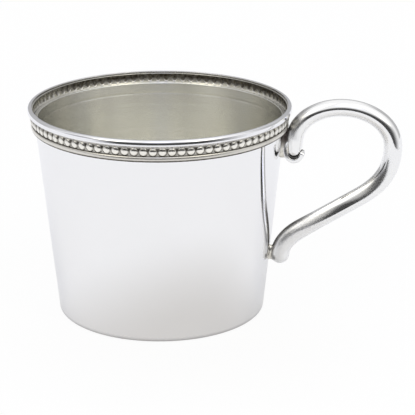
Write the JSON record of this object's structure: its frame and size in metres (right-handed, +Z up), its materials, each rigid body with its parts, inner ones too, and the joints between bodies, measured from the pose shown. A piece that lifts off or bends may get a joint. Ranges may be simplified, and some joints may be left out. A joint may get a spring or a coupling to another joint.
{
  "type": "baby cup",
  "caption": "Small tapered polished metal cup with a beaded border below a round lip and one cast scroll handle, for a baby to drink from.",
  "frame": {"origin": "centre of the flat underside of the base, on the axis of the cup", "axes": "+Z up along the axis of the cup, +X from the axis towards the handle"},
  "size_m": [0.1007, 0.071, 0.0601],
  "materials": {
    "polished_silver": "silver plate, mirror polished outside and turned satin inside",
    "handle_silver": "silver plate, polished cast rod",
    "satin_silver": "silver plate, turned satin",
    "antiqued_silver": "silver plate, dark patina left between the beads",
    "solder": "solder, brushed over"
  },
  "bodies": {
    "root": {"cup_wall": "polished_silver", "base_disc": "satin_silver", "base_solder": "solder", "bead_strip": "antiqued_silver", "lip_wire": "polished_silver", "lower_wire": "polished_silver", "handle": "handle_silver", "upper_handle_solder": "solder", "lower_handle_solder": "solder"}
  },
  "joints": []
}
